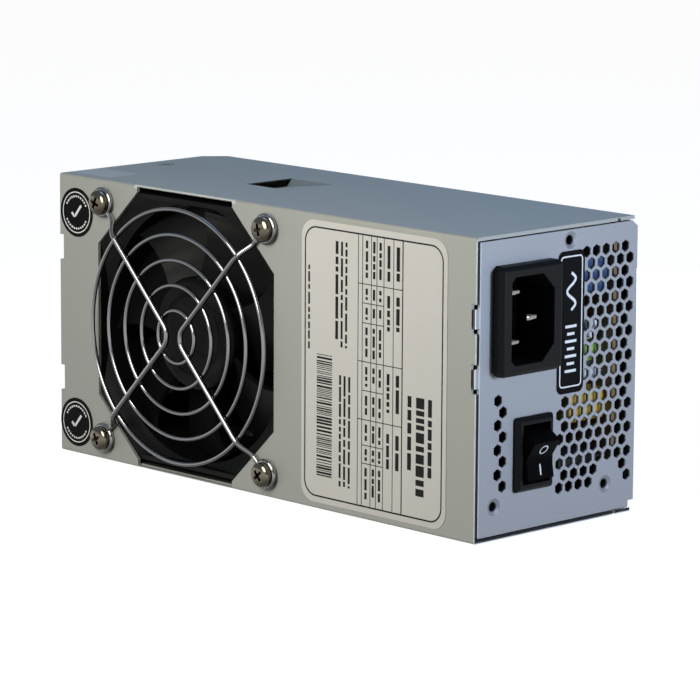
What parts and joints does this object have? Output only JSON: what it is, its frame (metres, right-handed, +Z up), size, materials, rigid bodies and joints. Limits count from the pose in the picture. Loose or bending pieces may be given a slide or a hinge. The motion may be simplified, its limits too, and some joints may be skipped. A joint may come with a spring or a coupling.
{
  "type": "power supply unit",
  "caption": "Slim folded-steel desktop power supply with a guarded fan on its side, and a mains inlet, rocker switch and honeycomb vent at one end.",
  "frame": {"origin": "middle of the underside of the case, on the face it stands on", "axes": "+Z up, +X along the case to the mains inlet end, -Y out of the fan"},
  "size_m": [0.1812, 0.0701, 0.085],
  "materials": {
    "cover_steel": "satin zinc-coated sheet",
    "tray_steel": "satin zinc-coated sheet",
    "screw_zinc": "bright zinc",
    "screw_gold": "yellow zinc",
    "plain_steel": "plain",
    "guard_chrome": "polished",
    "fan_plastic": "satin",
    "blade_plastic": "satin",
    "black_plastic": "satin",
    "rocker_plastic": "gloss",
    "white_plastic": "satin",
    "ferrite": "matt",
    "bronze": "sintered",
    "copper": "enamelled",
    "contact_brass": "plain",
    "pin_metal": "nickel plate",
    "small_board": "satin",
    "board_tan": "matt",
    "clear_sheet": "satin",
    "sink_aluminium": "plain",
    "chip_epoxy": "matt",
    "sleeve_dark": "gloss",
    "tape_yellow": "satin",
    "choke_yellow": "painted",
    "film_yellow": "satin",
    "disc_grey": "gloss",
    "disc_green": "gloss",
    "disc_blue": "gloss",
    "fuse_glass": "clear",
    "label_paper": "matt",
    "label_black": "satin",
    "black_lead": "satin",
    "brown_lead": "satin",
    "blue_lead": "satin",
    "green_lead": "satin"
  },
  "bodies": {
    "unit": {"case_cover": "cover_steel", "case_tray": "tray_steel", "inlet_panel": "tray_steel", "case_screws": "screw_zinc", "fan_frame": "fan_plastic", "fan_bearing": "bronze", "fan_stator": "plain_steel", "fan_coils": "copper", "fan_circuit": "small_board", "fan_lead": "black_lead", "fan_plug": "white_plastic", "fan_guard": "guard_chrome", "fan_screws": "screw_gold", "inlet_housing": "black_plastic", "inlet_pins": "pin_metal", "switch_housing": "black_plastic", "switch_terminals": "contact_brass", "rating_label": "label_paper", "voltage_label": "label_black", "round_stickers": "label_black", "main_board": "board_tan", "insulation_sheet": "clear_sheet", "standoffs": "screw_zinc", "board_screws": "screw_zinc", "primary_heatsink": "sink_aluminium", "secondary_heatsink": "sink_aluminium", "power_transistors": "chip_epoxy", "output_rectifiers": "chip_epoxy", "device_screws": "screw_zinc", "bulk_capacitors": "sleeve_dark", "main_transformer": "ferrite", "transformer_winding": "tape_yellow", "standby_transformer": "tape_yellow", "output_choke": "choke_yellow", "filter_choke": "ferrite", "x_capacitor": "film_yellow", "y_capacitors": "disc_grey", "thermistor": "disc_green", "varistor": "disc_blue", "fuse": "fuse_glass", "fuse_clips": "pin_metal", "bridge_rectifier": "chip_epoxy", "output_capacitors": "sleeve_dark", "control_chip": "chip_epoxy", "live_lead": "brown_lead", "switched_lead": "brown_lead", "neutral_lead": "blue_lead", "earth_lead": "green_lead", "earth_stud": "screw_zinc", "earth_nut": "screw_zinc", "cable_grommet": "black_plastic"},
    "rotor": {"fan_impeller": "blade_plastic", "fan_rotor_cup": "plain_steel", "fan_magnet": "ferrite", "fan_shaft": "plain_steel"},
    "rocker": {"switch_rocker": "rocker_plastic", "switch_plunger": "white_plastic", "switch_spring": "plain_steel"},
    "lever": {"switch_lever": "contact_brass"}
  },
  "joints": [
    {"name": "fan_spin", "type": "hinge", "parent": "unit", "child": "rotor", "pos_m": [-0.0314, -0.0215, 0.0425], "axis": [0, -1, 0], "continuous": true},
    {"name": "switch_rock", "type": "hinge", "parent": "unit", "child": "rocker", "pos_m": [0.0845, -0.0098, 0.0228], "axis": [0, 1, 0], "range_deg": [-24, 0]},
    {"name": "lever_rock", "type": "hinge", "parent": "unit", "child": "lever", "pos_m": [0.0782, -0.0098, 0.0228], "axis": [0, 1, 0], "range_deg": [0, 14.01]}
  ],
  "couplings": [
    {"joint": "lever_rock", "follows": "switch_rock", "ratio": -0.58333}
  ]
}
